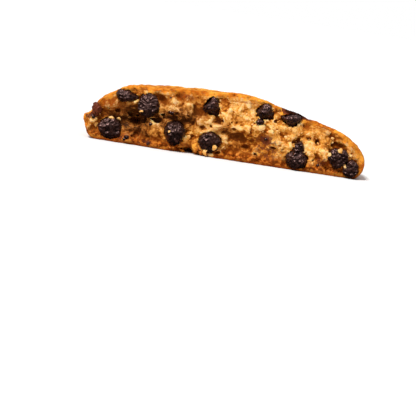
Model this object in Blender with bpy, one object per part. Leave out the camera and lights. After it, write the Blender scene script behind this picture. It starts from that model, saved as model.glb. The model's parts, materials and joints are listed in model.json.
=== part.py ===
"""Half of a broken chocolate chip cookie, lying flat on its base.

The piece is a little more than half of a round, domed cookie, snapped across. One solid is the
dough; every chocolate chip that shows, in the break, in the crust or in the base, is a solid of
its own, seated in a socket in the dough.

+X runs along the break, +Y into the cookie and +Z up, so the broken face looks along -Y. The
origin is on the base, under the middle of the bounding box. Sizes are in millimetres and become
metres where a mesh is made.
"""

import math

import bmesh
import bpy
from mathutils import Matrix, Vector, noise

MM = 0.001

# The round cookie that the piece broke from
COOKIE_RADIUS = 45.0
CROWN_HEIGHT = 19.9
CENTRE = (-0.6, -17.95)
BREAK_Y = CENTRE[1] - 6.4
RIM_RIPPLES = ((2, 0.006, 0.9), (3, 0.009, 2.1), (5, 0.006, 1.3), (8, 0.003, 0.4))

# The outline in section, at the right tip and at the left tip
WIDEST_HEIGHT = (5.0, 6.4)
FOOT_INSET = (3.0, 5.6)
CROWN_SPREAD = (2.6, 3.5)
CROWN_DROP = (1.65, 1.4)

# Broad swells and dips of the crust: x, y, radius, height
SWELLS = (
    (24.0, -9.0, 10.0, -3.6),
    (22.5, -22.0, 8.0, -1.1),
    (6.0, -25.0, 9.0, 1.5),
    (-33.0, -21.0, 6.0, 2.0),
    (-27.0, 4.0, 7.0, -0.9),
    (14.0, 5.0, 8.0, -0.8),
    (2.0, 15.0, 8.0, 0.4),
)

# Dents of the broken face, bulges where the depth is negative: x, z, half width, half height, depth
DENTS = (
    (-31.0, 7.6, 6.4, 4.4, 2.6),
    (-28.3, 7.4, 2.0, 1.6, 1.4),
    (-7.8, 13.2, 2.6, 3.6, 1.6),
    (3.6, 6.6, 5.6, 5.0, 1.5),
    (-21.0, 15.6, 2.4, 1.8, 1.6),
    (14.0, 5.4, 4.8, 3.4, 1.1),
    (29.0, 10.0, 2.4, 2.2, 1.2),
    (3.0, 15.0, 6.0, 4.4, -1.3),
    (14.7, 12.0, 4.4, 3.0, -1.5),
    (27.7, 8.9, 4.4, 4.4, -1.1),
    (-21.9, 4.6, 3.2, 2.4, -1.3),
    (-19.6, 12.7, 2.6, 2.0, -1.0),
)
BREAK_BOW = 1.6
BREAK_ROUGHNESS = 0.75
BREAK_GRAIN = 4.5
NOTCH = (-10.6, 0.0, 3.2, 1.9, 4.2)

# How finely the solids are faceted
RIM_STEPS = 64
FOOT_STEPS = 4
CROWN_STEPS = 11
BREAK_CELL = 2.1
CHIP_SIDES = 10

# Chocolate chips in section, from the flat base to the tip: share of the length, share of the radius
CHIP_PROFILE = ((0.03, 0.78), (0.20, 1.0), (0.45, 0.88), (0.70, 0.60), (0.90, 0.27))
KISS_PROFILE = ((0.03, 0.70), (0.22, 1.0), (0.42, 0.90), (0.62, 0.44), (0.78, 0.36), (0.93, 0.28))
DROP_PROFILE = ((0.05, 0.60), (0.22, 0.95), (0.45, 1.0), (0.70, 0.76), (0.90, 0.42))
LOBE_DEPTH = 0.5
CHIP_UNEVENNESS = 0.07
SOCKET_GAP = 0.3

# Chips in the break: name, x, z, how far the middle lies behind the face, width, depth, height, where the tip points
BREAK_CHIPS = (
    ("oval", -31.7, 14.9, 1.0, 7.2, 5.4, 3.4, (1.0, 0.15, 0.0)),
    ("round", -24.8, 12.9, 0.8, 6.9, 5.6, 7.4, (0.1, 1.0, -0.1)),
    ("left", -36.4, 4.4, 0.9, 7.5, 5.6, 6.5, (-0.15, 1.0, 0.1)),
    ("drop", -15.6, 5.6, 0.8, 6.9, 6.0, 7.7, (0.1, 0.15, -1.0)),
    ("middle", -4.9, 5.2, 0.7, 7.1, 6.0, 6.4, (-0.3, 1.0, 0.3)),
    ("corner", -4.8, 15.4, 1.2, 5.2, 4.8, 5.8, (0.7, 0.2, -0.6)),
    ("slant", 12.0, 16.3, 0.9, 5.8, 5.0, 5.2, (0.75, 0.3, -0.6)),
    ("crust", 20.1, 15.1, 0.9, 6.8, 5.6, 4.2, (0.15, 0.25, -1.0)),
    ("kiss", 23.5, 5.4, 0.6, 7.0, 6.2, 8.4, (0.05, -0.35, 1.0)),
    ("lobed", 36.7, 6.7, 0.7, 6.1, 5.2, 7.4, (0.2, 1.0, 0.2)),
    ("tip", 41.2, 3.4, 0.9, 5.0, 5.0, 5.4, (0.3, 1.0, 0.2)),
    ("edge", -41.3, 8.8, 0.9, 3.2, 4.8, 4.6, (-0.4, 0.2, -1.0)),
)

# Chips that show through the crust: x, y, how deep the middle lies, width, length, where the tip points
CROWN_CHIPS = (
    (-31.0, -11.2, 3.0, 6.8, 5.4, (0.2, 0.1, -1.0)),
    (-14.5, -3.2, 3.0, 7.2, 5.8, (-0.2, 0.2, -1.0)),
    (0.5, -0.4, 2.7, 6.6, 5.6, (0.9, 0.3, -0.3)),
    (29.5, -7.3, 3.0, 7.0, 5.6, (0.1, -0.2, -1.0)),
    (14.0, -1.0, 3.1, 7.2, 6.0, (0.3, 0.2, -1.0)),
    (-22.5, 5.2, 2.7, 6.8, 5.6, (-0.7, 0.3, -0.4)),
    (-5.5, 8.2, 2.3, 6.6, 5.0, (0.2, -0.15, -1.0)),
    (24.5, 7.7, 2.8, 6.8, 5.8, (0.4, 0.8, -0.4)),
    (6.5, 16.7, 2.4, 7.0, 5.6, (-0.2, -0.1, -1.0)),
)

# Chips in the side of the rim: bearing in degrees from +X, height, how far in from the side, width, length
RIM_CHIPS = (
    (38.0, 8.2, 1.9, 6.4, 5.2),
    (74.0, 6.4, 2.2, 6.8, 5.6),
    (112.0, 8.8, 2.0, 6.2, 5.2),
    (147.0, 6.8, 2.1, 6.6, 5.4),
)

# Chips that lay on the baking tray and show as discs in the base: x, y, width, length
BASE_CHIPS = (
    (-27.0, -13.2, 6.6, 4.6),
    (-9.0, -3.2, 7.0, 4.8),
    (11.5, -11.7, 6.4, 4.4),
    (26.0, -0.2, 6.8, 4.6),
    (-6.0, 14.3, 6.6, 4.6),
)
BASE_CHIP_RAISE = 0.1

DOUGH_COLOUR = (0.66, 0.35, 0.11)
CHIP_COLOUR = (0.045, 0.020, 0.014)


def mix(pair, share):
    return pair[0] + (pair[1] - pair[0]) * share


def left_share(bearing):
    """0 at the right tip of the cookie and 1 at the left."""
    return (1 - math.cos(bearing)) / 2


def rim_radius(bearing):
    ripple = sum(a * math.sin(n * bearing + phase) for n, a, phase in RIM_RIPPLES)
    return COOKIE_RADIUS * (1 + ripple)


def around(bearing, radius):
    return CENTRE[0] + radius * math.cos(bearing), CENTRE[1] + radius * math.sin(bearing)


def gauss(*terms):
    return math.exp(-sum(t * t for t in terms))


def swell(x, y):
    return sum(h * gauss((x - sx) / r, (y - sy) / r) for sx, sy, r, h in SWELLS)


def crown_point(bearing, rise):
    """A point of the crust above the widest line; rise is 0 there and 1 at the middle of the top."""
    side = left_share(bearing)
    widest = mix(WIDEST_HEIGHT, side)
    angle = rise * math.pi / 2
    radius = rim_radius(bearing) * math.cos(angle) ** (2 / mix(CROWN_SPREAD, side))
    lift = math.sin(angle) ** (2 / mix(CROWN_DROP, side))
    x, y = around(bearing, radius)
    return Vector((x, y, widest + (CROWN_HEIGHT - widest) * lift + swell(x, y) * lift))


def foot_point(bearing, drop):
    """A point of the rounded foot; drop is 0 at the widest line and 1 where the flat base begins."""
    side = left_share(bearing)
    angle = drop * math.pi / 2
    radius = rim_radius(bearing) - mix(FOOT_INSET, side) * (1 - math.cos(angle))
    height = mix(WIDEST_HEIGHT, side) * (1 - math.sin(angle))
    return Vector((*around(bearing, radius), height))


def crown_height(x, y):
    """Height of the crust over a point of the base, by halving the rise."""
    bearing = math.atan2(y - CENTRE[1], x - CENTRE[0])
    radius = math.hypot(x - CENTRE[0], y - CENTRE[1])
    low, high = 0.0, 1.0
    for _ in range(30):
        rise = (low + high) / 2
        point = crown_point(bearing, rise)
        if math.hypot(point.x - CENTRE[0], point.y - CENTRE[1]) > radius:
            low = rise
        else:
            high = rise
    return point.z


def break_depth(x, z):
    """Y of the broken face at a point of it."""
    dents = sum(d * gauss((x - cx) / hw, (z - cz) / hh) for cx, cz, hw, hh, d in (*DENTS, NOTCH))
    grain = noise.fractal(Vector((x, 7.3, z)) / BREAK_GRAIN, 0.6, 2.1, 3)
    return BREAK_Y + BREAK_BOW * (x / COOKIE_RADIUS) ** 2 + dents + BREAK_ROUGHNESS * grain


def mesh_object(name, bm, material):
    """Turns a closed mesh into an object. Its quads aren't flat, so they are split before any cut."""
    bmesh.ops.triangulate(bm, faces=[face for face in bm.faces if len(face.verts) == 4])
    bmesh.ops.recalc_face_normals(bm, faces=bm.faces[:])
    bm.transform(Matrix.Scale(MM, 4))
    mesh = bpy.data.meshes.new(name)
    bm.to_mesh(mesh)
    bm.free()
    mesh.materials.append(material)
    mesh.shade_smooth()
    mesh.set_sharp_from_angle(angle=math.radians(40))
    obj = bpy.data.objects.new(name, mesh)
    bpy.context.scene.collection.objects.link(obj)
    return obj


def stacked_rings(bm, rings):
    """Joins rings of points, from the first to the last, with quads. Returns their vertices."""
    rows = [[bm.verts.new(p) for p in ring] for ring in rings]
    for lower, upper in zip(rows, rows[1:]):
        count = len(lower)
        for i in range(count):
            j = (i + 1) % count
            bm.faces.new((lower[i], lower[j], upper[j], upper[i]))
    return rows


def fan(bm, row, point):
    tip = bm.verts.new(point)
    for i, vert in enumerate(row):
        bm.faces.new((vert, row[(i + 1) % len(row)], tip))


def round_cookie(material):
    """The whole cookie before it broke: a flat base, a rounded foot and a low, uneven dome."""
    bearings = [2 * math.pi * i / RIM_STEPS for i in range(RIM_STEPS)]
    rings = [[foot_point(b, 1 - k / FOOT_STEPS) for b in bearings] for k in range(FOOT_STEPS)]
    rings += [[crown_point(b, k / CROWN_STEPS) for b in bearings] for k in range(CROWN_STEPS)]
    bm = bmesh.new()
    rows = stacked_rings(bm, rings)
    bm.faces.new(reversed(rows[0]))
    fan(bm, rows[-1], crown_point(0, 1))
    return mesh_object("dough", bm, material)


def break_cutter(material):
    """A slab in front of the piece whose back is the relief of the broken face."""
    across = int(2 * (COOKIE_RADIUS + 5) / BREAK_CELL)
    upward = int((CROWN_HEIGHT + 8) / BREAK_CELL)
    xs = [(i - across / 2) * BREAK_CELL for i in range(across + 1)]
    zs = [-3 + k * BREAK_CELL for k in range(upward + 1)]
    bm = bmesh.new()
    back = [[bm.verts.new((x, break_depth(x, z), z)) for x in xs] for z in zs]
    front = [[bm.verts.new((x, BREAK_Y - 60, z)) for x in (xs[0], xs[-1])] for z in (zs[0], zs[-1])]
    for lower, upper in zip(back, back[1:]):
        for i in range(across):
            bm.faces.new((lower[i], lower[i + 1], upper[i + 1], upper[i]))
    bm.faces.new((*back[0], front[0][1], front[0][0]))
    bm.faces.new((*back[-1], front[1][1], front[1][0]))
    bm.faces.new((*[row[0] for row in back], front[1][0], front[0][0]))
    bm.faces.new((*[row[-1] for row in back], front[1][1], front[0][1]))
    bm.faces.new((front[0][0], front[0][1], front[1][1], front[1][0]))
    return mesh_object("break_cutter", bm, material)


def chip_mesh(place, size, tip, seed, profile, lobe, grow=0.0):
    """A chocolate chip whose middle is at place; size is what it measures along x, y and z.

    A lobe deeper than 0 draws a groove down its side, which parts it into two lobes.
    """
    turn = Vector(tip).normalized().to_track_quat("Z", "Y").to_matrix().to_4x4()
    move = Matrix.Translation(place) @ Matrix.Diagonal((*(s / 2 + grow for s in size), 1)) @ turn

    def skin(share, radius, angle):
        radius *= 1 - lobe * max(0, math.sin(angle)) ** 6
        point = Vector((radius * math.cos(angle), radius * math.sin(angle), 2 * share - 1))
        uneven = 1 + CHIP_UNEVENNESS * noise.noise(point * 1.3 + Vector((seed, 0, 0)))
        return move @ (point * uneven)

    angles = [math.pi / 2 + 2 * math.pi * i / CHIP_SIDES for i in range(CHIP_SIDES)]
    bm = bmesh.new()
    rows = stacked_rings(bm, [[skin(s, r, a) for a in angles] for s, r in profile])
    fan(bm, rows[-1], skin(1, 0, 0))
    fan(bm, rows[0][::-1], skin(0, 0, 0))
    return bm


def helper(obj):
    obj.hide_render = True
    obj.display_type = "WIRE"
    return obj


def cut(obj, cutter):
    boolean = obj.modifiers.new(f"cut_{cutter.name}", "BOOLEAN")
    boolean.operation = "DIFFERENCE"
    boolean.object = helper(cutter)


def add_chip(dough, name, place, size, tip, materials, profile=CHIP_PROFILE, lobe=0.0):
    """Makes a chip and cuts its socket into the dough."""
    form = (place, size, tip, sum(map(ord, name)), profile, lobe)
    mesh_object(name, chip_mesh(*form), materials["chocolate"])
    socket = chip_mesh(*form, SOCKET_GAP)
    cut(dough, mesh_object(f"socket_{name}", socket, materials["dough"]))


def make_material(name, colour, roughness):
    material = bpy.data.materials.new(name)
    material.use_nodes = True
    shader = material.node_tree.nodes["Principled BSDF"]
    shader.inputs["Base Color"].default_value = (*colour, 1)
    shader.inputs["Roughness"].default_value = roughness
    shader.inputs["Metallic"].default_value = 0
    return material


def clear_scene():
    for obj in list(bpy.data.objects):
        bpy.data.objects.remove(obj)


def main():
    clear_scene()
    materials = {
        "dough": make_material("baked_dough", DOUGH_COLOUR, 0.8),
        "chocolate": make_material("chocolate", CHIP_COLOUR, 0.45),
    }
    dough = round_cookie(materials["dough"])
    cut(dough, break_cutter(materials["dough"]))

    for name, x, z, behind, width, depth, height, tip in BREAK_CHIPS:
        place = Vector((x, break_depth(x, z) + behind, z))
        profile = {"kiss": KISS_PROFILE, "drop": DROP_PROFILE}.get(name, CHIP_PROFILE)
        lobe = LOBE_DEPTH if name == "lobed" else 0.0
        size = (width, depth, height)
        add_chip(dough, f"chip_break_{name}", place, size, tip, materials, profile, lobe)

    for n, (x, y, deep, width, length, tip) in enumerate(CROWN_CHIPS, 1):
        place = Vector((x, y, crown_height(x, y) - deep))
        add_chip(dough, f"chip_crown_{n}", place, (width, width, length), tip, materials)

    for n, (degrees, z, inward, width, length) in enumerate(RIM_CHIPS, 1):
        bearing = math.radians(degrees)
        out = Vector((math.cos(bearing), math.sin(bearing), 0))
        place = Vector((*around(bearing, rim_radius(bearing) - inward), z))
        add_chip(dough, f"chip_rim_{n}", place, (width, width, length), -out, materials)

    for n, (x, y, width, length) in enumerate(BASE_CHIPS, 1):
        place = Vector((x, y, length / 2 + BASE_CHIP_RAISE))
        add_chip(dough, f"chip_base_{n}", place, (width, width, length), (0, 0, 1), materials)


main()
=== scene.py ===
"""Looks of the broken half of a chocolate chip cookie: crust, crumb, chips and loose crumbs.

The frame's solids say where everything is. The chips are the frame's own solids, rounded and
roughened. The dough is a solid field, worked out on a grid: the cookie's rounded outside, cut
along the rough break, with the crumb's grains and air holes in it and a socket round every chip.
Lengths are in millimetres and become metres where a mesh is made. +X runs along the break, +Y
into the cookie and +Z up.
"""

import json
import math

import bmesh
import bpy
import numpy as np
from mathutils import Matrix, Vector
from mathutils.bvhtree import BVHTree

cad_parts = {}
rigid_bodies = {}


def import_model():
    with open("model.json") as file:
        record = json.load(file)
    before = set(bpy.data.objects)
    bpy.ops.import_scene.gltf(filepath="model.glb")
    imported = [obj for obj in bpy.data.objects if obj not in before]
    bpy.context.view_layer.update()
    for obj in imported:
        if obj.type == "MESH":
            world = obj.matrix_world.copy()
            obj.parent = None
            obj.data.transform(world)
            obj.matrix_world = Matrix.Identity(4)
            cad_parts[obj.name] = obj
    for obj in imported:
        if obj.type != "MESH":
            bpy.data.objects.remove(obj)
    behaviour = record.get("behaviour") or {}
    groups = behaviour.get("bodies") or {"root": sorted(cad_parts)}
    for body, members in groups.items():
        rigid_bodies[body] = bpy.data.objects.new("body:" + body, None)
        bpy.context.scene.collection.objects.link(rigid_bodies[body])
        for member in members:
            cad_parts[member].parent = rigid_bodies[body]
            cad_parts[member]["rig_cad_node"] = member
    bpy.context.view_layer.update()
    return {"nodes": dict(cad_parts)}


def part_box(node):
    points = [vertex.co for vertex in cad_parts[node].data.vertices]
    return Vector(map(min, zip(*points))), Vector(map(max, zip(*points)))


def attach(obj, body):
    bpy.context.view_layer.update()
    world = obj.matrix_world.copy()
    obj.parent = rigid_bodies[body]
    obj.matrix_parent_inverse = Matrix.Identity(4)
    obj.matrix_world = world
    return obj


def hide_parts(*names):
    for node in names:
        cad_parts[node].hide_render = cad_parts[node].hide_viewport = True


MM = 0.001

# The round cookie that the piece broke from, as the solids have it
COOKIE_RADIUS = 45.0
CROWN_HEIGHT = 19.9
CENTRE = (-0.6, -17.95)
BREAK_Y = CENTRE[1] - 6.4
BREAK_BOW = 1.6
RIM_RIPPLES = ((2, 0.006, 0.9), (3, 0.009, 2.1), (5, 0.006, 1.3), (8, 0.003, 0.4))
WIDEST_HEIGHT = (5.0, 6.4)
FOOT_INSET = (3.0, 5.6)
CROWN_SPREAD = (2.6, 3.5)
CROWN_DROP = (1.65, 1.4)

# Broad swells and dips of the crust: x, y, radius, height
SWELLS = (
    (24.0, -9.0, 10.0, -3.6),
    (22.5, -22.0, 8.0, -1.1),
    (6.0, -25.0, 9.0, 1.5),
    (-33.0, -21.0, 6.0, 2.0),
    (-27.0, 4.0, 7.0, -0.9),
    (14.0, 5.0, 8.0, -0.8),
    (2.0, 15.0, 8.0, 0.4),
)

# Dents of the broken face, bulges where the depth is negative: x, z, half width, half height, depth
DENTS = (
    (-31.0, 7.6, 6.4, 4.4, 2.6),
    (-28.3, 7.4, 2.0, 1.6, 1.4),
    (-7.8, 13.2, 2.6, 3.6, 0.7),
    (3.6, 6.6, 5.6, 5.0, 1.0),
    (-21.0, 15.6, 2.4, 1.8, 1.6),
    (14.0, 5.4, 4.8, 3.4, 0.6),
    (29.0, 10.0, 2.4, 2.2, 1.2),
    (3.0, 15.0, 6.0, 4.4, -1.3),
    (14.7, 12.0, 4.4, 3.0, -1.5),
    (27.7, 8.9, 4.4, 4.4, -1.1),
    (-21.9, 4.6, 3.2, 2.4, -1.3),
    (-19.6, 12.7, 2.6, 2.0, -1.0),
    (-10.6, 0.0, 3.2, 1.9, 4.2),
)

# Small holes in the crumb, which the solids leave out: x, z, half width, half height, depth
PITS = (
    (-28.3, 7.4, 1.5, 0.9, 3.0),
    (-34.4, 10.0, 1.0, 0.8, 1.6),
    (-27.8, 3.6, 0.9, 1.0, 1.8),
    (-20.6, 9.0, 1.6, 0.9, 0.9),
    (-17.0, 10.4, 1.3, 0.8, 0.8),
    (-12.2, 10.2, 2.2, 0.9, 0.9),
    (-2.6, 11.2, 1.4, 0.9, 1.3),
    (-7.6, 8.8, 1.5, 0.9, 0.8),
    (7.2, 4.6, 1.8, 0.8, 1.4),
    (26.4, 10.6, 0.8, 0.7, 1.8),
    (29.1, 9.7, 0.7, 1.0, 2.0),
    (33.4, 2.6, 1.2, 0.8, 1.4),
    (23.6, 8.9, 1.9, 1.9, 2.0),
    (36.4, 9.4, 2.6, 1.3, 1.6),
    (-10.6, 0.0, 2.0, 2.2, 3.0),
)

# Where the crumb is moist and drawn into bubbles and strands: x, z, half width, half height, strength
WEBS = (
    (-31.5, 8.4, 6.2, 4.6, 1.5),
    (-20.5, 9.0, 5.5, 3.0, 1.0),
    (-13.6, 11.8, 6.0, 3.4, 1.2),
    (-27.4, 3.2, 3.6, 2.8, 1.1),
    (-7.6, 13.0, 2.6, 3.4, 0.3),
    (-1.5, 9.8, 3.6, 2.6, 0.9),
    (3.6, 6.4, 4.2, 3.8, 0.4),
    (-21.2, 15.4, 2.8, 1.8, 0.7),
)

# Where the crust broke off short of the break, or swells where the depth is negative: x, z, half width, half
# height, depth, the height of the sharp step below it, and how far back it reaches
NICKS = (
    (-44.4, 9.0, 2.6, 3.0, 2.3, 7.1, 15.0),
    (-45.0, 3.8, 2.6, 2.6, 0.8, 0.0, 12.0),
    (20.8, 17.6, 3.4, 2.2, -0.75, 0.0, 7.0),
    (-24.0, 20.0, 1.4, 1.2, 0.4, 0.0, 7.0),
)
STEP_HEIGHT = 0.4

# The share of its reach at which a nick starts to fade
NICK_FADE = 0.4

# Where the crumb is baked brown: x, z, half width, half height, strength
TOASTS = (
    (-38.2, 12.2, 4.8, 2.2, 1.3),
    (-42.0, 4.0, 2.2, 3.0, 0.4),
    (-8.4, 13.4, 2.0, 2.8, 0.35),
    (-20.5, 15.6, 2.8, 1.8, 0.7),
    (-14.0, 17.6, 3.6, 1.6, 1.0),
    (-30.0, 1.6, 8.5, 1.5, 1.1),
    (10.5, 18.4, 4.0, 1.2, 0.6),
    (33.0, 2.4, 3.0, 2.2, 1.0),
    (25.6, 15.2, 2.0, 1.8, 0.5),
    (42.5, 8.5, 4.5, 5.0, 0.7),
)

# Melted chocolate that colours the dough: x, z, half width, half height, strength. Above 1 it is solid
# chocolate
SMEARS = (
    (14.1, 5.5, 4.8, 3.6, 0.7),
    (12.7, 8.3, 1.8, 1.2, 1.0),
    (31.3, 4.0, 2.0, 1.8, 0.7),
    (-42.7, 9.1, 2.3, 2.7, 1.4),
    (-30.8, 1.6, 2.6, 1.0, 0.7),
    (-24.4, 1.4, 2.4, 1.0, 0.7),
    (18.4, 18.2, 2.2, 1.2, 1.7),
    (21.4, 17.6, 2.4, 1.3, 1.8),
    (24.4, 17.0, 1.8, 1.0, 1.2),
    (-13.4, 17.4, 2.4, 1.0, 0.6),
    (-17.6, 12.4, 1.2, 1.6, 0.5),
)

# The grid of the dough's field: its cell at the break, the cell at the back, how deep the fine part goes, how
# fast the steps grow behind it, and how far the grid goes beyond the dough, below the base in cells
CELL = 0.29
BACK_CELL = 0.8
FINE_DEPTH = 7.5
STEP_GROWTH = 3
GRID_MARGIN = 1.2
CELLS_BELOW = 2.5

# How far in front of the break the dough may stand out; how far in front of the break, behind it and outside
# the skin the crumb is worked out; and how far to both sides of the skin the crust is
BREAK_FRONT = 4.2
CRUMB_REACH = (3.2, 4.6, 0.6)
CRUST_REACH = 2.6

# Noise repeats after this many of its features, and the gain brings it to about -1 to 1
LATTICE = 32
NOISE_GAIN = 1.6

# Keep the depth below the skin finite on top of the crown and in the middle of the foot
LEAST_SLOPE = 4e-4
TINY = 1e-6

# Sizes of what the crumb is made of, and how far it stands out. A third number is how far from its middle a
# grain is level with the rest, in shares of its size. Where CUPPED, given as size, middle, spread, least and
# most, is below 0, the grains are hollow cups instead
LUMP = (4.6, 1.3)
GRAIN = (1.9, 1.05, 0.62)
CUPPED = (5.5, 0.3, 1.4, -0.8, 1)
FLAKE = (2.0, 0.28)
FINE_GRAIN = (0.85, 0.38, 0.6)
TORN_EDGE = (2.2, 0.6)

# Air holes: how far apart they are, and their smallest and largest radius
AIR_HOLE = (3.3, 0.1, 0.85)

# How noise bends the grains, the bubbles and a chip's bumps out of their rows: its size, and how far it bends
GRAIN_BEND = (1.6, 0.7)
BUBBLE_BEND = (2.6, 0.7)
CHIP_BEND = (1.3, 0.45)

# Grains and air holes are round once they are scaled by this, so they are long across and low
GRAIN_SQUASH = (0.75, 1, 1.1)
AIR_HOLE_SQUASH = (0.75, 1, 1.15)

# Bubbles of the moist crumb: their length, depth and height, half the wall between two, how deep they go, the
# share of them that is left out, and how fast they close where the crumb is dry
BUBBLE = (3.6, 2.6, 2.2)
BUBBLE_WALL = 0.34
BUBBLE_DEPTH = 1.7
BUBBLES_LEFT_OUT = 0.15
BUBBLES_CLOSE = 3

# The share of its grains that moist crumb loses, and how much the dough's field grows for each millimetre
# behind the break, less than one because its relief slopes
MOIST_SMOOTHS = 0.8
BREAK_SLOPE = 0.85

# Thickness of the crust at the base and above it, and the heights between which it changes
CRUST_THICKNESS = (0.9, 1.4)
CRUST_THICKENS = (1, 5)

# Where the broken crust turns into crumb, and where air holes and bubbles set in, in shares of its thickness
CRUMB_SETS_IN = (0.4, 1.3)
HOLES_SET_IN = (0.6, 1.5)
BUBBLES_SET_IN = (0.7, 1.4)

# The crust's wrinkles and grain: their size and how far they stand out, and the heights between which they
# set in above the flat base
CRUST_WRINKLE = (6.5, 0.42)
CRUST_GRAIN = (1.5, 0.16)
RELIEF_SETS_IN = (0.4, 3.0)

# How far around a place the room is measured that sets its painted shade and light, darker where the crumb
# closes round it, in cells, and what a full room adds to its tone in dry and in moist crumb
NEAR_ROOM = 2
WIDE_ROOM = 6
NEAR_TONE = (0.9, 1.9)
WIDE_TONE = (1.0, 0.7)

# What the tone loses everywhere, for each millimetre behind the break (painted shade in the recesses, partly
# browning), in a spot of WEBS and in moist crumb
DARKER = 0.33
DARKER_BEHIND = 0.1
DARKER_SPOT = 0.2
DARKER_MOIST = 0.30

# How far behind the break its colours and its melted chocolate have faded, and where they start to
COLOUR_FADE = (6, 4)
SMEAR_FADE = (5.0, 0.5)

# The gap round a chip, how much it varies and over what distance; how far around the chip and outside the
# dough its socket is worked out; and how deep behind the break a chip is still laid bare
SOCKET_GAP = (0.08, 0.42, 1.5)
SOCKET_MARGIN = 1
SOCKET_OUTSIDE = 1.5
CLEARED_DEPTH = 4.0

# The dough's mesh is reduced to this many faces
DOUGH_FACES = 97_000

# Where the views of the dough lie on its baking map, each as left, bottom, width and height in shares of it
FRONT_VIEW = (0.005, 0.575, 0.99, 0.42)
CROWN_VIEW = (0.005, 0.005, 0.485, 0.56)
BASE_VIEW = (0.51, 0.005, 0.485, 0.56)

# Faces of the front view: how far behind the break they reach, the normal's Y below which one faces the
# front, and how far below the skin it counts even if it doesn't
FRONT_VIEW_DEPTH = 3.5
FRONT_VIEW_NORMAL = -0.35
BELOW_SKIN = 0.6

# Skin of the chips: size and height of the lumps, the small lumps and the grains
CHIP_LUMP = (2.6, 0.34)
CHIP_GRAIN = (1.05, 0.72)
CHIP_FINE_GRAIN = (0.55, 0.38)

# How far from a grain's middle it is level with the chip's solid, as a square; how finely the chips of each
# place are divided; and how close two corners are that become one, in metres
CREASE_LEVEL = 0.3
CHIP_LEVELS = {"break": 3, "rim": 3, "crown": 2, "base": 2}
WELD_REACH = 1e-6

# Chips that would stand out of the silhouette: how far one's skin is drawn in, and those that stay below the
# crust's smooth skin, and how far
SUNK_CHIPS = {"chip_break_crust": 0.25}
FLUSH_CHIPS = ("chip_crown_2", "chip_crown_3")
FLUSH_DEPTH = 0.15

# How far chips and crumbs stay above the ground
BASE_GAP = 0.02

# Crumbs, flakes and bits that lie on the break where the photograph shows them: x, z, width, height
LARGE_CRUMBS = (
    (-2.8, 3.2, 1.6, 1.8),
    (-5.4, 1.4, 1.0, 2.4),
    (-3.4, 0.9, 2.0, 1.3),
    (-35.9, 7.6, 2.2, 1.1),
    (-33.6, 7.3, 1.8, 0.8),
    (-40.6, 4.6, 1.0, 1.8),
    (-42.2, 5.8, 1.5, 1.2),
    (11.8, 14.1, 2.0, 1.4),
    (19.6, 13.0, 1.8, 0.9),
    (22.6, 14.6, 1.0, 0.7),
    (36.6, 8.2, 1.2, 1.8),
    (38.8, 3.7, 1.0, 1.2),
    (33.5, 6.8, 1.2, 1.0),
    (25.9, 6.6, 2.2, 0.8),
    (-2.7, 16.3, 1.2, 1.0),
    (-26.9, 11.2, 1.2, 0.7),
    (-17.2, 6.4, 0.9, 0.6),
)
CRUST_FLAKES = (
    (-8.7, 2.4, 1.9, 3.6),
    (-8.2, 0.9, 2.4, 1.7),
    (-12.9, 0.5, 2.0, 0.8),
    (-6.4, 1.0, 1.2, 1.4),
)
CHOCOLATE_BITS = (
    (10.3, 13.3, 2.4, 2.2),
    (-30.8, 1.8, 1.7, 1.5),
    (-17.5, 12.0, 1.2, 1.4),
    (-41.9, 7.1, 1.6, 1.1),
    (12.9, 8.2, 1.9, 1.2),
    (-23.5, 7.3, 1.1, 1.1),
    (-23.3, 1.3, 1.0, 0.9),
    (-18.6, 16.6, 0.9, 0.7),
    (33.6, 5.6, 1.0, 0.9),
    (30.4, 2.6, 1.0, 0.8),
)

# Small crumbs: how many, their size, their height in shares of it, how high they start, how far below the
# skin they start in shares of the crust's thickness, and how much of a spot of WEBS or SMEARS they lie on
SMALL_CRUMBS = 90
SMALL_CRUMB_SIZE = (0.45, 1.2)
SMALL_CRUMB_HEIGHT = (0.6, 1.0)
LOW_CRUMB = 3.0
CRUMB_BELOW_SKIN = 1.2
SPOT_LIMIT = 0.15

# A bit of crumb, crust or chocolate: its depth in shares of the lesser of width and height, and the share of
# it that is sunk. Looks tell where it lies: how far off its middle they go in shares of its size, how low
# they may go, and how far in front of the break they start
BIT_DEPTH = 0.8
BIT_SUNK = 0.2
LOOKS_ASIDE = 0.3
LOWEST_LOOK = 0.1
LOOKS_START = 20

# The lumps of a bit: how many, their radius, how far they lie aside and how far they tilt. Their skin's noise
# is given as size and height, and taken from anywhere within the spread
LUMPS_IN_BIT = 3
LUMP_RADIUS = (0.3, 0.46)
LUMP_ASIDE = 0.24
LUMP_TILT = 0.9
LUMP_SKIN = (0.9, 0.5)
LUMP_FINE_SKIN = (0.45, 0.35)
SKIN_SPREAD = 30

# Colours, linear. A ramp of crumb runs from the deepest recess to the most raised grain, so its dark end is
# painted shade and its light end painted light as well as the crumb's own colour; the others run from one end
# of a mottle's noise to the other
DRY_CRUMB = (
    (0.08, (0.150, 0.028, 0.002)),
    (0.28, (0.330, 0.088, 0.007)),
    (0.50, (0.630, 0.235, 0.033)),
    (0.70, (0.840, 0.415, 0.099)),
    (0.92, (0.890, 0.570, 0.235)),
)
MOIST_CRUMB = (
    (0.05, (0.045, 0.010, 0.002)),
    (0.30, (0.150, 0.044, 0.007)),
    (0.55, (0.360, 0.122, 0.023)),
    (0.78, (0.560, 0.256, 0.072)),
    (0.95, (0.760, 0.470, 0.190)),
)
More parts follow.
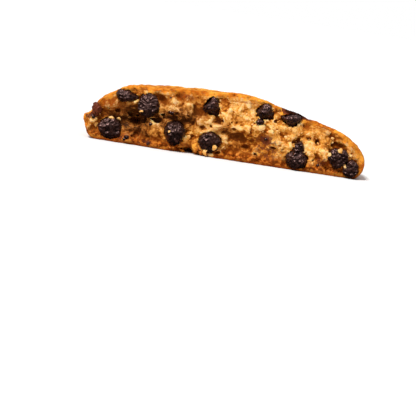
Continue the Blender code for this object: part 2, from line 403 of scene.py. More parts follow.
# BASE_MOTTLES' dark end, BASE_CRUMB and UNDERSIDE darken crumb and skin near the base: partly browning,
# partly painted shade
BASE_MOTTLES = (
    (0.40, (0.720, 0.240, 0.030)),
    (0.50, (0.320, 0.066, 0.005)),
    (0.57, (0.085, 0.013, 0.001)),
)
SKIN = (
    (0.38, (0.840, 0.360, 0.045)),
    (0.50, (0.700, 0.230, 0.020)),
    (0.63, (0.440, 0.100, 0.007)),
)
BROWNED = (0.27, 0.055, 0.004, 1)
BASE_CRUMB = (0.40, 0.100, 0.008, 1)
UNDERSIDE = (0.18, 0.032, 0.003, 1)
MELTED = (0.15, 0.034, 0.012, 1)
MELTED_DARK = (0.125, 0.024, 0.009, 1)
MELTED_SKIN = (0.032, 0.007, 0.003, 1)
CHOCOLATE = (0.007, 0.0012, 0.0006, 1)
CHOCOLATE_BLOOM = (0.040, 0.014, 0.010, 1)
CHOCOLATE_GLOSS = (1.0, 0.58, 0.52, 1)
MOIST_GLOSS = (1.0, 0.70, 0.35, 1)

# Features of the materials' noise for each metre, how rough it is, and between which values most of it lies
BROAD_NOISE = 230
MIDDLE_NOISE = 800
FINE_NOISE = 2400
NOISE_ROUGHNESS = 0.6
NOISE_SPAN = (0.35, 0.65)

# Heights in metres above the base where the darkening towards the base, partly browning and partly painted
# shade, starts and where it is full: of the crumb, the skin, the crumb's mottles and the lowest edge
CRUMB_BROWNS_AND_SHADE = (0.0048, 0.0014)
SKIN_BROWNS_AND_SHADE = (0.0045, 0.0006)
MOTTLES_SET_IN = (0.0036, 0.0016)
EDGE_BROWNS_AND_SHADE = (0.0011, 0.0003)

# How far a material's bumps stand out, in metres
BUMP_DISTANCE = 0.0003

# The camera: how many pixels wide the photograph is, and how many millimetres a pixel is at the broken face
PHOTO_WIDTH = 416
PHOTO_SCALE = 0.31615
PHOTO_TURN = math.radians(8.918)
AIM = (-1.8, -14.9)
LOOK_DOWN = math.radians(8.2)
LENS = 120.0
SENSOR = 36.0

# The sun: its strength, how soft its shadows are, its height and its bearing
SUN_STRENGTH = 3.1
SUN_SOFTNESS = math.radians(16)
SUN_HEIGHT = math.radians(52)
SUN_BEARING = math.radians(-30)

# The sky's light from below and from above, and the heights of its direction between which it changes
SKY_STRENGTH = (0.02, 0.52)
SKY_EDGE = (-0.1, 0.5)

# The white ground
FLOOR_SIDE = 20_000
FLOOR_COLOUR = (0.92, 0.92, 0.92, 1)


def mix(pair, share):
    return pair[0] + (pair[1] - pair[0]) * share


def smooth_step(low, high, value):
    share = np.clip((value - low) / (high - low), 0, 1)
    return share * share * (3 - 2 * share)


def spots(x, z, places):
    """The sum of soft spots, each given as x, z, half width, half height and strength."""
    return sum(s * np.exp(-(((x - cx) / w) ** 2) - ((z - cz) / h) ** 2) for cx, cz, w, h, s in places)


def lattice_cells(points, size):
    """The cell of the noise lattice that each point lies in, and its place in it from 0 to 1."""
    scaled = points / size
    cell = np.floor(scaled).astype(np.int32)
    return cell, (scaled - cell).astype(np.float32)


def noise(points, size, seed):
    """Smooth noise of about -1 to 1, with features of the given size."""
    slopes = np.random.default_rng(seed).normal(size=(LATTICE**3, 3)).astype(np.float32)
    slopes /= np.linalg.norm(slopes, axis=1, keepdims=True)
    cell, part = lattice_cells(points, size)
    fade = part * part * part * (part * (part * 6 - 15) + 10)
    total = np.zeros(len(points), np.float32)
    for corner in np.ndindex(2, 2, 2):
        key = (cell + corner) % LATTICE @ (LATTICE**2, LATTICE, 1)
        weight = np.prod(np.where(corner, fade, 1 - fade), axis=1)
        total += weight * np.einsum("ij,ij->i", slopes[key], part - np.float32(corner))
    return NOISE_GAIN * total


def layered_noise(points, size, seed, layers=3):
    return sum(noise(points, size / 2**n, seed + n) / 2**n for n in range(layers))


def bent(points, bend, seed):
    """The points moved about by noise, so that what is laid out at them is less regular."""
    size, reach = bend
    return points + reach * np.stack([noise(points, size, seed + n) for n in range(3)], axis=1)


def scattered(points, size, seed):
    """How far the nearest and second of scattered centres lie, in shares of size, and the first's number."""
    chance = np.random.default_rng(seed).random((LATTICE**3, 4)).astype(np.float32)
    cell, part = lattice_cells(points, size)
    first = np.full(len(points), 9, np.float32)
    second = first.copy()
    number = np.zeros(len(points), np.float32)
    for corner in np.ndindex(3, 3, 3):
        offset = np.subtract(corner, 1)
        centre = chance[(cell + offset) % LATTICE @ (LATTICE**2, LATTICE, 1)]
        away = centre[:, :3] + offset.astype(np.float32) - part
        distance = np.sqrt(np.einsum("ij,ij->i", away, away))
        closer = distance < first
        second = np.where(closer, first, np.minimum(second, distance))
        number = np.where(closer, centre[:, 3], number)
        first = np.where(closer, distance, first)
    return first, second, number


def body_depth(x, y, z):
    """How deep a place is below the whole cookie's skin, as if it had never been broken."""
    dx, dy = x - CENTRE[0], y - CENTRE[1]
    bearing = np.arctan2(dy, dx)
    radius = np.hypot(dx, dy)
    side = (1 - np.cos(bearing)) / 2
    rim = COOKIE_RADIUS * (1 + sum(a * np.sin(n * bearing + phase) for n, a, phase in RIM_RIPPLES))
    widest = mix(WIDEST_HEIGHT, side)
    spread, drop = mix(CROWN_SPREAD, side), mix(CROWN_DROP, side)
    swell = sum(h * np.exp(-(((x - sx) / r) ** 2) - ((y - sy) / r) ** 2) for sx, sy, r, h in SWELLS)

    dome = CROWN_HEIGHT - widest + swell
    out, up = radius / rim, np.maximum(z - widest, 0) / dome
    outward = spread * out ** (spread - 1) / rim
    upward = drop * up ** (drop - 1) / dome
    crown = (1 - out**spread - up**drop) / np.sqrt(outward**2 + upward**2 + LEAST_SLOPE)

    inset = mix(FOOT_INSET, side)
    beyond, below = np.maximum(radius - rim + inset, 0) / inset, (widest - z) / widest
    reach = np.sqrt(beyond**2 + below**2) + TINY
    foot = (1 - reach) * reach / np.sqrt((beyond / inset) ** 2 + (below / widest) ** 2 + TINY)
    return np.where(z > widest, crown, foot)


def behind_break(x, y):
    """How far a place lies behind the line of the break."""
    return y - BREAK_Y - BREAK_BOW * (x / COOKIE_RADIUS) ** 2


def broken_depth(x, y, z):
    """How far a place lies behind the broken face, before its crumb."""
    return behind_break(x, y) - spots(x, z, DENTS)


def webbed(x, z):
    return np.clip(spots(x, z, WEBS), 0, 1)


def crust_share(body, z):
    """Depth below the skin in shares of the crust's thickness there."""
    return body / mix(CRUST_THICKNESS, smooth_step(*CRUST_THICKENS, z))


def crust_relief(points):
    """How far the crust stands out from the smooth cookie; the base stays flat."""
    x, y, z = points.T
    wrinkle = CRUST_WRINKLE[1] * layered_noise(points, CRUST_WRINKLE[0], seed=11)
    grain = CRUST_GRAIN[1] * layered_noise(points, CRUST_GRAIN[0], seed=21, layers=2)
    nicks = 0
    for *spot, floor, reach in NICKS:
        faded = smooth_step(reach, NICK_FADE * reach, y - BREAK_Y)
        nicks += spots(x, z, [spot]) * smooth_step(floor, floor + STEP_HEIGHT, z) * faded
    return (wrinkle + grain - nicks) * smooth_step(*RELIEF_SETS_IN, z)


def crumb_relief(points, share, web):
    """How far the crumb stands out from the line of the break."""
    places = bent(points, GRAIN_BEND, seed=31) * np.float32(GRAIN_SQUASH)
    size, middle, spread, least, most = CUPPED
    raised = np.clip(middle + spread * noise(points, size, seed=45), least, most)
    lumps = LUMP[1] * layered_noise(points, LUMP[0], seed=41, layers=2)
    grains = GRAIN[1] * raised * (GRAIN[2] - scattered(places, GRAIN[0], seed=51)[0])
    flakes = FLAKE[1] * (0.5 - 2 * np.abs(noise(places, FLAKE[0], seed=55)))
    fine = FINE_GRAIN[1] * (FINE_GRAIN[2] - scattered(places, FINE_GRAIN[0], seed=61)[0])
    crumb = lumps + (grains + flakes + fine) * (1 - MOIST_SMOOTHS * web)
    torn = TORN_EDGE[1] * layered_noise(points, TORN_EDGE[0], seed=71, layers=2)
    return mix((torn, crumb), smooth_step(*CRUMB_SETS_IN, share))


def air_holes(points, share):
    """Distance outside the nearest air hole; the crust has none."""
    size, smallest, largest = AIR_HOLE
    nearest, _, number = scattered(points * np.float32(AIR_HOLE_SQUASH), size, seed=81)
    radius = mix((smallest, largest), number) * smooth_step(*HOLES_SET_IN, share)
    return nearest * size - radius


def bubble_walls(points):
    """Above 0 in the walls between the drawn-out bubbles of the moist crumb, and below 0 inside a bubble."""
    places = bent(points, BUBBLE_BEND, seed=34) / np.float32(BUBBLE)
    first, second, number = scattered(places, 1, seed=111)
    walls = BUBBLE_WALL - 0.5 * min(BUBBLE) * (second - first)
    return np.where(number < BUBBLES_LEFT_OUT, 1, walls)


def crumb_surface(points, behind, body):
    """Depth inside the crumb at points near the break, negative in front of it and in its holes."""
    x, _, z = points.T
    share = crust_share(body, z)
    web = webbed(x, z) * smooth_step(*BUBBLES_SET_IN, share)
    surface = BREAK_SLOPE * behind + crumb_relief(points, share, web) - spots(x, z, PITS)
    bubbles = np.maximum(bubble_walls(points) + BUBBLES_CLOSE * (1 - web), behind - BUBBLE_DEPTH)
    return np.minimum(np.minimum(surface, bubbles), air_holes(points, share))


def grown_steps(first, last, cell, end_cell):
    """Grid places from first to last, whose steps grow from cell to end_cell."""
    places = [first]
    while places[-1] < last:
        share = (places[-1] - first) / (last - first)
        places.append(places[-1] + cell + (end_cell - cell) * min(1, STEP_GROWTH * share))
    return places


def dough_grid():
    low, high = (np.array(corner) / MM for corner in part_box("dough"))
    xs = np.arange(low[0] - GRID_MARGIN, high[0] + GRID_MARGIN, CELL)
    zs = np.arange(-CELLS_BELOW * CELL, high[2] + GRID_MARGIN, CELL)
    fine = np.arange(BREAK_Y - BREAK_FRONT, BREAK_Y + FINE_DEPTH, CELL)
    ys = np.concatenate([fine, grown_steps(fine[-1] + CELL, high[1] + GRID_MARGIN, CELL, BACK_CELL)])
    return xs, ys, zs


def dough_field(xs, ys, zs, chips):
    """Depth inside the dough at the grid's places, negative outside it, with the sockets and without them."""
    x, y, z = xs[:, None, None], ys[None, :, None], zs[None, None, :]
    body = body_depth(x, y, z).astype(np.float32)
    behind = broken_depth(x, y, z).astype(np.float32)

    near_crust = (np.abs(body) < CRUST_REACH) & (behind > -BREAK_FRONT)
    body[near_crust] += crust_relief(points_of(near_crust, xs, ys, zs))

    in_front, inside, outside = CRUMB_REACH
    near_break = (behind > -in_front) & (behind < inside) & (body > -outside)
    points = points_of(near_break, xs, ys, zs)
    behind[near_break] = crumb_surface(points, behind[near_break], body[near_break])
    unchipped = np.minimum(body, behind)

    field = unchipped.copy()
    for chip in chips:
        carve_socket(field, xs, ys, zs, chip)
    return field, unchipped


def points_of(mask, xs, ys, zs):
    i, j, k = np.nonzero(mask)
    return np.stack([xs[i], ys[j], zs[k]], axis=1).astype(np.float32)


def carve_socket(field, xs, ys, zs, chip):
    """Takes a chip's room out of the field, and what would hide the chip from the front.

    The dough meets the chip unevenly, over or short of its skin.
    """
    points, polygons = chip
    tree = BVHTree.FromPolygons(points.tolist(), polygons)
    ranges = []
    for places, low, high in zip((xs, ys, zs), points.min(0) - SOCKET_MARGIN, points.max(0) + SOCKET_MARGIN):
        ranges.append(slice(np.searchsorted(places, low), np.searchsorted(places, high)))
    block = field[tuple(ranges)]
    across, deep, up = (places[r] for places, r in zip((xs, ys, zs), ranges))
    worked_out = block > -SOCKET_OUTSIDE
    near = points_of(worked_out, across, deep, up)
    outside = np.empty(len(near), np.float32)
    for n, place in enumerate(near):
        spot, normal, _, distance = tree.find_nearest(Vector(place))
        outside[n] = math.copysign(distance, (Vector(place) - spot).dot(normal))
    gap, varies, size = SOCKET_GAP
    uneven = gap + varies * noise(near, size, seed=91)
    block[worked_out] = np.minimum(block[worked_out], outside - uneven)

    for i, k in np.ndindex(len(across), len(up)):
        spot = tree.ray_cast(Vector((across[i], deep[0], up[k])), Vector((0, 1, 0)))[0]
        if spot and spot.y < BREAK_Y + CLEARED_DEPTH:
            block[i, :, k] = np.minimum(block[i, :, k], deep - spot.y)


def surface_net(field, xs, ys, zs):
    """The closed surface where the field is zero, as points and quads: one point in each cell it crosses."""
    inside = field > 0
    shape = np.subtract(field.shape, 1)
    corners = sum(inside[i : i + shape[0], j : j + shape[1], k : k + shape[2]].astype(np.int8)
                  for i, j, k in np.ndindex(2, 2, 2))
    crossed = (corners > 0) & (corners < 8)
    cells = np.argwhere(crossed)
    index = np.full(crossed.shape, -1)
    index[crossed] = np.arange(len(cells))

    total, count = np.zeros((len(cells), 3)), np.zeros(len(cells))
    for start, end in cell_edges():
        a, b = (cells + corner for corner in (start, end))
        low, high = (field[tuple(corner.T)] for corner in (a, b))
        crosses = (low > 0) != (high > 0)
        share = np.where(crosses, low / np.where(crosses, low - high, 1), 0)[:, None]
        first, last = (np.stack([axis[c] for axis, c in zip((xs, ys, zs), at.T)], axis=1) for at in (a, b))
        total += np.where(crosses[:, None], first + share * (last - first), 0)
        count += crosses

    quads = []
    for axis in range(3):
        step, side, up = (np.eye(3, dtype=int)[(axis + n) % 3] for n in range(3))
        low = inside[tuple(slice(0, size - d) for size, d in zip(inside.shape, step))]
        high = inside[tuple(slice(d, None) for d in step)]
        at = np.argwhere(low != high)
        at = at[(at @ side > 0) & (at @ up > 0)]
        ring = np.stack([index[tuple((at - back).T)] for back in (side + up, up, 0 * up, side)], axis=1)
        faces_back = ~inside[tuple(at.T)]
        ring[faces_back] = ring[faces_back, ::-1]
        quads.append(ring)
    return total / count[:, None], np.concatenate(quads)


def cell_edges():
    """The twelve edges of a grid cell, each as its two corners."""
    for axis in range(3):
        for corner in np.ndindex(2, 2, 2):
            if corner[axis] == 0:
                start = np.array(corner)
                yield start, start + np.eye(3, dtype=int)[axis]


def largest_piece(points, quads):
    """Leaves out loose specks and sealed holes: whatever isn't joined to the largest surface."""
    label = np.arange(len(points))
    while True:
        lowest = label[quads].min(axis=1)
        before = label.copy()
        for corner in quads.T:
            np.minimum.at(label, corner, lowest)
        label = label[label]
        if (label == before).all():
            break
    keep = label == np.bincount(label).argmax()
    renumber = np.cumsum(keep) - 1
    return points[keep], renumber[quads[keep[quads[:, 0]]]]


def add_mesh(name, points, faces, material, smooth=True):
    """Makes an object from points in millimetres."""
    mesh = bpy.data.meshes.new(name)
    mesh.from_pydata((np.asarray(points) * MM).tolist(), [], np.asarray(faces).tolist())
    mesh.materials.append(material)
    mesh.polygons.foreach_set("use_smooth", [smooth] * len(mesh.polygons))
    mesh.update()
    obj = bpy.data.objects.new(name, mesh)
    bpy.context.scene.collection.objects.link(obj)
    return obj


def applied(obj):
    """Bakes an object's modifiers into its mesh."""
    evaluated = obj.evaluated_get(bpy.context.evaluated_depsgraph_get())
    mesh = bpy.data.meshes.new_from_object(evaluated)
    mesh.validate()
    obj.modifiers.clear()
    obj.data = mesh


def read_array(items, name, width=1, kind=np.float32):
    values = np.empty(len(items) * width, kind)
    items.foreach_get(name, values)
    return values.reshape(-1, width) if width > 1 else values


def mesh_points(mesh):
    return read_array(mesh.vertices, "co", 3) / MM


def write_attribute(mesh, name, values):
    attribute = mesh.attributes.new(name, "FLOAT", "POINT")
    attribute.data.foreach_set("value", np.asarray(values, np.float32))


def blurred(values, reach):
    """The mean over a box of so many grid places to each side."""
    for axis in range(3):
        total = np.cumsum(values, axis=axis, dtype=np.float32)
        places = np.arange(values.shape[axis])
        ahead = np.take(total, np.minimum(places + reach, places[-1]), axis)
        before = np.take(total, np.maximum(places - reach - 1, 0), axis)
        values = (ahead - before) / (2 * reach + 1)
    return values


def sampled(values, grid, points):
    """The values of the grid's places nearest to the points."""
    places = (np.clip(np.searchsorted(axis, p), 1, len(axis) - 1) for axis, p in zip(grid, points.T))
    return values[tuple(places)]


def add_baking_map(mesh, points):
    """Lays the dough out for baking in three views: the break from the front, crown and base from above."""
    x, y, z = read_array(mesh.polygons, "center", 3).T / MM
    normal = read_array(mesh.polygons, "normal", 3)
    in_crumb = (normal[:, 1] < FRONT_VIEW_NORMAL) | (body_depth(x, y, z) > BELOW_SKIN)
    front = (broken_depth(x, y, z) < FRONT_VIEW_DEPTH) & in_crumb
    view = np.where(front, 0, np.where(normal[:, 2] > 0, 1, 2))
    view = np.repeat(view, read_array(mesh.polygons, "loop_total", kind=np.int32))

    vertex = read_array(mesh.loops, "vertex_index", kind=np.int32)
    shares = (points - points.min(0)) / np.ptp(points, axis=0)
    across, deep, up = shares[vertex].T
    left, bottom, width, height = np.array((FRONT_VIEW, CROWN_VIEW, BASE_VIEW))[view].T
    places = np.stack([left + width * across, bottom + height * np.where(view == 0, up, deep)], axis=1)
    layer = mesh.uv_layers.new(name="OFBake")
    layer.uv.foreach_set("vector", places.astype(np.float32).ravel())


def write_looks(mesh, points, unchipped, grid):
    """Writes what the dough's material reads at its points: crust depth, tone with painted shade and light,
    stains.
    """
    x, y, z = points.T
    # The room is measured without the chips' sockets, so the dough round each chip gets painted shadow
    empty = (unchipped < 0).astype(np.float32)
    near_room = sampled(blurred(empty, NEAR_ROOM), grid, points)
    wide_room = sampled(blurred(empty, WIDE_ROOM), grid, points)
    hollow = behind_break(x, y)
    faded = smooth_step(*COLOUR_FADE, hollow)
    web = webbed(x, z) * faded
    # The tone: painted shade where the crumb closes round a place, painted light on open grains, and painted
    # shade deeper behind the break, partly browning
    tone = mix(NEAR_TONE, web) * near_room + mix(WIDE_TONE, web) * wide_room - DARKER_BEHIND * hollow - DARKER
    tone -= DARKER_SPOT * spots(x, z, WEBS) + DARKER_MOIST * web
    write_attribute(mesh, "crust_share", crust_share(body_depth(x, y, z), z))
    write_attribute(mesh, "tone", tone)
    write_attribute(mesh, "web", web)
    write_attribute(mesh, "toast", spots(x, z, TOASTS) * faded)
    write_attribute(mesh, "smear", spots(x, z, SMEARS) * smooth_step(*SMEAR_FADE, hollow))


def make_dough(chips, material):
    grid = dough_grid()
    field, unchipped = dough_field(*grid, chips)
    points, quads = largest_piece(*surface_net(field, *grid))
    points[:, 2] = np.maximum(points[:, 2], 0)
    dough = add_mesh("baked_dough", points, quads, material)
    if len(quads) > DOUGH_FACES:
        reduce = dough.modifiers.new("reduce", "DECIMATE")
        reduce.ratio = DOUGH_FACES / len(quads)
        applied(dough)

    points = mesh_points(dough.data)
    write_looks(dough.data, points, unchipped, grid)
    add_baking_map(dough.data, points)
    print("dough", len(quads), "quads made,", len(dough.data.polygons), "faces kept")
    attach(dough, "root")
    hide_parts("dough")
    return dough


def rounded_copy(node):
    """A chip's solid from the frame, divided and rounded, as an object of its own."""
    chip = node.copy()
    chip.data = node.data.copy()
    chip.name = f"chocolate_{node.name}"
    bpy.context.scene.collection.objects.link(chip)
    weld = chip.modifiers.new("weld", "WELD")
    weld.merge_threshold = WELD_REACH
    rounding = chip.modifiers.new("rounding", "SUBSURF")
    rounding.levels = CHIP_LEVELS[node.name.split("_")[1]]
    rounding.render_levels = rounding.levels
    applied(chip)
    return chip


def make_chip(node, material):
    """A chip: the frame's solid, rounded, with the rough and lumpy skin of baked chocolate."""
    chip = rounded_copy(node)
    points = mesh_points(chip.data)
    low, high = (np.array(corner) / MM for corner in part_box(node.name))
    own_low, own_high = points.min(0), points.max(0)
    points = low + (points - own_low) * (high - low) / (own_high - own_low)
    normals = read_array(chip.data.vertices, "normal", 3)
    places = bent(points, CHIP_BEND, seed=104)
    crease = scattered(places, CHIP_GRAIN[0], seed=102)[0] ** 2
    small_crease = scattered(places, CHIP_FINE_GRAIN[0], seed=103)[0] ** 2
    bumps = CHIP_LUMP[1] * noise(points, CHIP_LUMP[0], seed=101) + CHIP_GRAIN[1] * (CREASE_LEVEL - crease)
    bumps += CHIP_FINE_GRAIN[1] * (CREASE_LEVEL - small_crease) - SUNK_CHIPS.get(node.name, 0)
    # How deep in a crease each place lies, which the chocolate's material paints as shade
    write_attribute(chip.data, "crease", (crease + small_crease) / 2)
    points += normals * bumps[:, None]
    if node.name in FLUSH_CHIPS:
        points[:, 2] -= np.maximum(FLUSH_DEPTH - body_depth(*points.T), 0)
    points[:, 2] = np.maximum(points[:, 2], BASE_GAP)
    chip.data.vertices.foreach_set("co", (points * MM).ravel())
    chip.data.materials.clear()
    chip.data.materials.append(material)
    chip.data.polygons.foreach_set("use_smooth", [True] * len(chip.data.polygons))
    chip.data.update()
    del chip["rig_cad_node"]
    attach(chip, "root")
    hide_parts(node.name)
    return points, [tuple(polygon.vertices) for polygon in chip.data.polygons]


def unit_ball():
    bm = bmesh.new()
    bmesh.ops.create_icosphere(bm, subdivisions=2, radius=1)
    points = np.array([vert.co for vert in bm.verts], np.float32)
    faces = np.array([[vert.index for vert in face.verts] for face in bm.faces])
    bm.free()
    return points, faces


def first_met(trees, x, z):
    """How deep and on which of the trees a straight look along +Y first meets the piece."""
    hits = [tree.ray_cast(Vector((x, BREAK_Y - LOOKS_START, z)), Vector((0, 1, 0)))[0] for tree in trees]
    return min((spot.y, n) for n, spot in enumerate(hits) if spot)


def resting_depth(trees, x, z, width, height):
    """Where a bit comes to lie: as far forward as what it meets at its middle and around it."""
    looks = [(x, z)]
    for aside in (-LOOKS_ASIDE, LOOKS_ASIDE):
        looks += [(x + aside * width, z), (x, z + aside * height)]
    return min(first_met(trees, across, max(up, LOWEST_LOOK))[0] for across, up in looks)


def make_bits(name, bits, trees, material, seed):
    """One mesh of bits that lie on the break, given as x, z, width and height, each a clump of lumps."""
    ball, faces = unit_ball()
    chance = np.random.default_rng(seed)
    points, polygons = [], []
    for x, z, width, height in bits:
        size = np.array((width, BIT_DEPTH * min(width, height), height))
        middle = np.array((x, resting_depth(trees, x, z, width, height) + BIT_SUNK * size[1], z))
        for _ in range(LUMPS_IN_BIT):
            place = ball + SKIN_SPREAD * chance.random(3)
            rough = 1 + LUMP_SKIN[1] * noise(place, LUMP_SKIN[0], seed)
            rough += LUMP_FINE_SKIN[1] * noise(place, LUMP_FINE_SKIN[0], seed + 1)
            tilt = Matrix.Rotation(chance.uniform(-LUMP_TILT, LUMP_TILT), 3, "Y")
            aside = chance.uniform(-LUMP_ASIDE, LUMP_ASIDE, 3) * size
            polygons.append(faces + len(ball) * len(points))
            lump = ball * rough[:, None] * size * chance.uniform(*LUMP_RADIUS)
            points.append(lump @ np.array(tilt).T + middle + aside)
    points = np.concatenate(points)
    points[:, 2] = np.maximum(points[:, 2], BASE_GAP)
    made = add_mesh(name, points, np.concatenate(polygons), material)
    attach(made, "root")


def small_crumbs(trees):
    """Small crumbs spread over the crumb of the broken face; the first of the trees is the dough."""
    chance = np.random.default_rng(seed=7)
    crumbs = []
    while len(crumbs) < SMALL_CRUMBS:
        x, z = chance.uniform(-COOKIE_RADIUS, COOKIE_RADIUS), chance.uniform(0, CROWN_HEIGHT)
        in_crumb = crust_share(body_depth(x, BREAK_Y, z), z) > CRUMB_BELOW_SKIN
        dry = spots(x, z, WEBS + SMEARS) < SPOT_LIMIT
        if in_crumb and dry and z > LOW_CRUMB and first_met(trees, x, z)[1] == 0:
            size = mix(SMALL_CRUMB_SIZE, chance.random() ** 2)
            crumbs.append((x, z, size, size * chance.uniform(*SMALL_CRUMB_HEIGHT)))
    return crumbs


class Nodes:
    """Adds and links shader nodes in a few words."""

    def __init__(self, name):
        self.material = bpy.data.materials.new(name)
        self.material.use_nodes = True
        self.tree = self.material.node_tree
        self.shader = self.tree.nodes["Principled BSDF"]

    def add(self, kind, inputs=(), output=0, **settings):
        node = self.tree.nodes.new(kind)
        for key, value in settings.items():
            setattr(node, key, value)
        for key, value in dict(inputs).items():
            self.put(node.inputs[key], value)
        return node.outputs[output]

    def put(self, socket, value):
        if isinstance(value, bpy.types.NodeSocket):
            self.tree.links.new(value, socket)
        else:
            socket.default_value = value

    def attribute(self, name):
        return self.add("ShaderNodeAttribute", output="Fac", attribute_name=name)

    def noise(self, scale, detail=3.0):
        place = self.add("ShaderNodeTexCoord", output="Object")
        inputs = {"Vector": place, "Scale": scale, "Detail": detail, "Roughness": NOISE_ROUGHNESS}
        return self.add("ShaderNodeTexNoise", inputs)

    def noise_along(self, value, scale):
        """Noise that changes with one value only, so that it lies in layers."""
        return self.add("ShaderNodeTexNoise", {"W": value, "Scale": scale}, noise_dimensions="1D")

    def maths(self, operation, a, b=0.0):
        return self.add("ShaderNodeMath", {0: a, 1: b}, operation=operation)

    def ranged(self, value, low, high, to_low=0.0, to_high=1.0, easing="SMOOTHSTEP"):
        inputs = {"Value": value, "From Min": low, "From Max": high, "To Min": to_low, "To Max": to_high}
        return self.add("ShaderNodeMapRange", inputs, interpolation_type=easing)

    def ramp(self, value, stops):
        colours = self.add("ShaderNodeValToRGB", {"Fac": value})
        elements = colours.node.color_ramp.elements
        while len(elements) < len(stops):
            elements.new(0.5)
        for element, (position, colour) in zip(elements, stops):
            element.position = position
            element.color = (*colour, 1)
        return colours

    def blend(self, share, a, b):
        """Colour a, and b by its share. A mix node's colours are its inputs 6 and 7 and its output 2."""
        return self.add("ShaderNodeMix", {0: share, 6: a, 7: b}, output=2, data_type="RGBA")

    def bump(self, strength, height):
        return self.add("ShaderNodeBump", {"Strength": strength, "Distance": BUMP_DISTANCE, "Height": height})

    def surface(self, inputs):
        """Sets inputs of the material's shader and gives the material."""
        for key, value in inputs.items():
            self.put(self.shader.inputs[key], value)
        return self.material


def mottled_tone(n, broad, middle):
    """The tone that the mesh carries, with its painted shade and light, and mottles of noise in it."""
    tone = n.maths("ADD", n.attribute("tone"), n.ranged(middle, *NOISE_SPAN, -0.14, 0.14, "LINEAR"))
    return n.maths("ADD", tone, n.ranged(broad, *NOISE_SPAN, 0.20, -0.20, "LINEAR"))


def crumb_colour(n, tone, web, height, middle):
    """The crumb from recess to grain in painted shade and light, dry or moist; near the base partly browned
    and partly painted shade.
    """
    crumb = n.blend(web, n.ramp(tone, DRY_CRUMB), n.ramp(tone, MOIST_CRUMB))
    low = n.maths("MULTIPLY", n.ranged(height, *CRUMB_BROWNS_AND_SHADE), n.ranged(middle, 0.38, 0.52, 0.30, 1.0))
    return n.blend(low, crumb, n.blend(n.ranged(tone, 0.35, 0.85), BROWNED, BASE_CRUMB))


def skin_colour(n, height, broad, middle, fine):
    """The crust's skin, with browned spots and a darker foot that is partly browning and partly painted
    shade.
    """
    skin = n.ramp(broad, SKIN)
    skin = n.blend(n.maths("MULTIPLY", n.attribute("toast"), 0.4), skin, BROWNED)
    skin = n.blend(n.ranged(middle, 0.52, 0.66, 0.0, 0.45), skin, BROWNED)
    skin = n.blend(n.ranged(fine, 0.56, 0.72, 0.0, 0.35), skin, BROWNED)
    # The foot of the skin darker towards the base: partly browning, partly painted shade
    baked = n.maths("MULTIPLY", n.ranged(height, *SKIN_BROWNS_AND_SHADE), n.ranged(broad, 0.38, 0.62, 0.60, 0.97))
    return n.blend(baked, skin, UNDERSIDE)


def browned_crumb(n, crumb, share, uneven, tone, height, middle):
    """The crumb, browned in layers below the skin, where it is toasted, and in dark mottles near the base
    that are partly painted shade.
    """
    layers = n.noise_along(share, 2.6)
    browning = n.maths("MULTIPLY", n.ranged(uneven, 2.6, 0.8), n.ranged(layers, 0.40, 0.58, 0.25, 0.95))
    toast = n.maths("MULTIPLY", n.attribute("toast"), n.ranged(tone, 1.0, 0.4, 0.45, 1.0))
    crumb = n.blend(n.maths("MAXIMUM", browning, toast), crumb, BROWNED)
    return n.blend(n.ranged(height, *MOTTLES_SET_IN, 0.0, 0.75), crumb, n.ramp(middle, BASE_MOTTLES))


def smeared(n, dough, middle):
    """The dough with melted chocolate on it, mottled where it is thin and solid where it is thick."""
    smear = n.attribute("smear")
    mottled = n.maths("MULTIPLY", smear, n.ranged(middle, 0.42, 0.56, 0.15, 1.5))
    dough = n.blend(n.ranged(mottled, 0.15, 0.8, 0.0, 0.9), dough, MELTED)
    dough = n.blend(n.ranged(smear, 0.70, 0.95), dough, MELTED)
    return n.blend(n.ranged(smear, 1.3, 1.7), dough, MELTED_SKIN)


def dough_material():
    n = Nodes("baked_dough")
    share, web = n.attribute("crust_share"), n.attribute("web")
    broad, middle, fine = n.noise(BROAD_NOISE), n.noise(MIDDLE_NOISE), n.noise(FINE_NOISE, 2.0)
    place = n.add("ShaderNodeTexCoord", output="Object")
    height = n.add("ShaderNodeSeparateXYZ", {"Vector": place}, output="Z")
    tone = mottled_tone(n, broad, middle)
    uneven = n.maths("ADD", share, n.ranged(middle, 0.3, 0.7, -0.45, 0.45))
    uneven = n.maths("ADD", uneven, n.ranged(broad, *NOISE_SPAN, -0.35, 0.35))

    crumb = crumb_colour(n, tone, web, height, middle)
    crumb = browned_crumb(n, crumb, share, uneven, tone, height, middle)
    skin = skin_colour(n, height, broad, middle, fine)
    dough = n.blend(n.ranged(uneven, 0.5, 1.2), skin, crumb)
    # The lowest edge darker: partly browning, partly painted shade
    baked = n.maths("MULTIPLY", n.ranged(height, *EDGE_BROWNS_AND_SHADE), n.ranged(middle, 0.40, 0.60, 0.45, 0.95))
    dough = smeared(n, n.blend(baked, dough, UNDERSIDE), middle)
    return n.surface({
        "Base Color": dough,
        "Roughness": n.ranged(web, 0.2, 1.0, 0.70, 0.36),
        "Specular IOR Level": 0.06,
        "Specular Tint": MOIST_GLOSS,
        "Subsurface Weight": 0.35,
        "Subsurface Radius": (1.0, 0.42, 0.12),
        "Subsurface Scale": 0.0010,
        "Normal": n.bump(n.ranged(share, 0.5, 1.2, 0.2, 0.5), fine),
    })


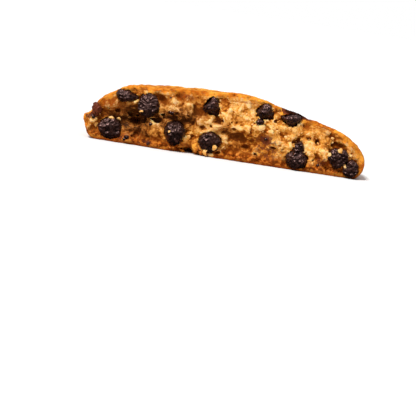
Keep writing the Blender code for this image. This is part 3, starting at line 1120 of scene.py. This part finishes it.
def chocolate_material(name, dark, bloom, gloss):
    n = Nodes(name)
    crease = n.ranged(n.attribute("crease"), 0.20, 0.50)
    broad, fine = n.noise(420), n.noise(2600, 2.0)
    colour = n.blend(n.ranged(broad, 0.45, 0.65), dark, bloom)
    colour = n.blend(n.ranged(fine, 0.54, 0.70, 0.0, 0.6), colour, bloom)
    rough = n.maths("ADD", n.ranged(fine, *NOISE_SPAN, 0.22, 0.32), n.maths("MULTIPLY", crease, 0.3))
    return n.surface({
        # Painted shade: the creases between the lumps take the dark colour
        "Base Color": n.blend(crease, colour, dark),
        "Roughness": rough,
        "Specular IOR Level": gloss,
        "Specular Tint": CHOCOLATE_GLOSS,
        "Normal": n.bump(0.4, fine),
    })


def flake_material():
    n = Nodes("crust")
    skin = n.ramp(n.noise(900), SKIN)
    browning = n.ranged(n.noise(FINE_NOISE, 2.0), 0.50, 0.66, 0.0, 0.7)
    return n.surface({
        "Base Color": n.blend(browning, skin, BROWNED),
        "Roughness": 0.6,
        "Specular IOR Level": 0.1,
    })


def crumb_material():
    n = Nodes("crumb")
    tone = n.ranged(n.noise(700), 0.3, 0.7, 0.50, 1.0)
    return n.surface({
        "Base Color": n.ramp(tone, DRY_CRUMB),
        "Roughness": 0.6,
        "Specular IOR Level": 0.1,
    })


def make_camera():
    """Looks at the broken face from a little above, turned about its line of sight as the photograph is."""
    distance = PHOTO_SCALE * PHOTO_WIDTH * LENS / SENSOR
    camera = bpy.data.objects.new("camera", bpy.data.cameras.new("camera"))
    camera.data.lens = LENS
    camera.data.sensor_width = SENSOR
    aim = Vector((AIM[0], BREAK_Y, AIM[1]))
    tilt = Matrix.Rotation(math.pi / 2 - LOOK_DOWN, 4, "X")
    roll = Matrix.Rotation(PHOTO_TURN, 4, "Z")
    back = Matrix.Translation((0, 0, distance))
    camera.matrix_world = Matrix.Scale(MM, 4) @ Matrix.Translation(aim) @ tilt @ roll @ back
    camera.matrix_world = Matrix.Translation(camera.matrix_world.translation) @ tilt @ roll
    bpy.context.scene.collection.objects.link(camera)
    bpy.context.scene.camera = camera


def make_light():
    """A soft sun from the upper left in front, and a sky that looks white but lights dimly from above."""
    sun = bpy.data.lights.new("sun", "SUN")
    sun.energy = SUN_STRENGTH
    sun.angle = SUN_SOFTNESS
    lamp = bpy.data.objects.new("sun", sun)
    lamp.rotation_euler = (math.pi / 2 - SUN_HEIGHT, 0, SUN_BEARING)
    bpy.context.scene.collection.objects.link(lamp)

    world = bpy.data.worlds.new("white_sky")
    world.use_nodes = True
    tree = world.node_tree
    direction = tree.nodes.new("ShaderNodeSeparateXYZ")
    tree.links.new(tree.nodes.new("ShaderNodeTexCoord").outputs["Generated"], direction.inputs[0])
    light = tree.nodes.new("ShaderNodeMapRange")
    tree.links.new(direction.outputs["Z"], light.inputs["Value"])
    light.inputs["From Min"].default_value, light.inputs["From Max"].default_value = SKY_EDGE
    light.inputs["To Min"].default_value, light.inputs["To Max"].default_value = SKY_STRENGTH
    seen = tree.nodes.new("ShaderNodeMapRange")
    tree.links.new(tree.nodes.new("ShaderNodeLightPath").outputs["Is Camera Ray"], seen.inputs["Value"])
    tree.links.new(light.outputs["Result"], seen.inputs["To Min"])
    tree.links.new(seen.outputs["Result"], tree.nodes["Background"].inputs["Strength"])
    tree.nodes["Background"].inputs["Color"].default_value = (1, 1, 1, 1)
    bpy.context.scene.world = world


def make_floor():
    material = Nodes("white_floor").surface({"Base Color": FLOOR_COLOUR, "Roughness": 1.0})
    side = FLOOR_SIDE / 2
    corners = [(-side, -side, 0), (side, -side, 0), (side, side, 0), (-side, side, 0)]
    floor = add_mesh("floor", corners, [(0, 1, 2, 3)], material, smooth=False)
    floor.visible_glossy = False


def main():
    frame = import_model()
    bpy.context.scene.view_settings.view_transform = "Standard"

    chocolate = chocolate_material("chocolate", CHOCOLATE, CHOCOLATE_BLOOM, 1.0)
    melted = chocolate_material("melted_chocolate", MELTED_DARK, MELTED, 0.3)
    chips = []
    for name, node in sorted(frame["nodes"].items()):
        if name != "dough":
            material = melted if name == "chip_break_edge" else chocolate
            chips.append(make_chip(node, material))
    dough = make_dough(chips, dough_material())

    polygons = [tuple(polygon.vertices) for polygon in dough.data.polygons]
    trees = [BVHTree.FromPolygons(mesh_points(dough.data).tolist(), polygons)]
    trees += [BVHTree.FromPolygons(points.tolist(), faces) for points, faces in chips]
    make_bits("loose_crumbs", (*LARGE_CRUMBS, *small_crumbs(trees)), trees, crumb_material(), 121)
    make_bits("crust_flakes", CRUST_FLAKES, trees, flake_material(), 122)
    make_bits("chocolate_bits", CHOCOLATE_BITS, trees, chocolate, 123)

    make_camera()
    make_light()
    make_floor()


main()
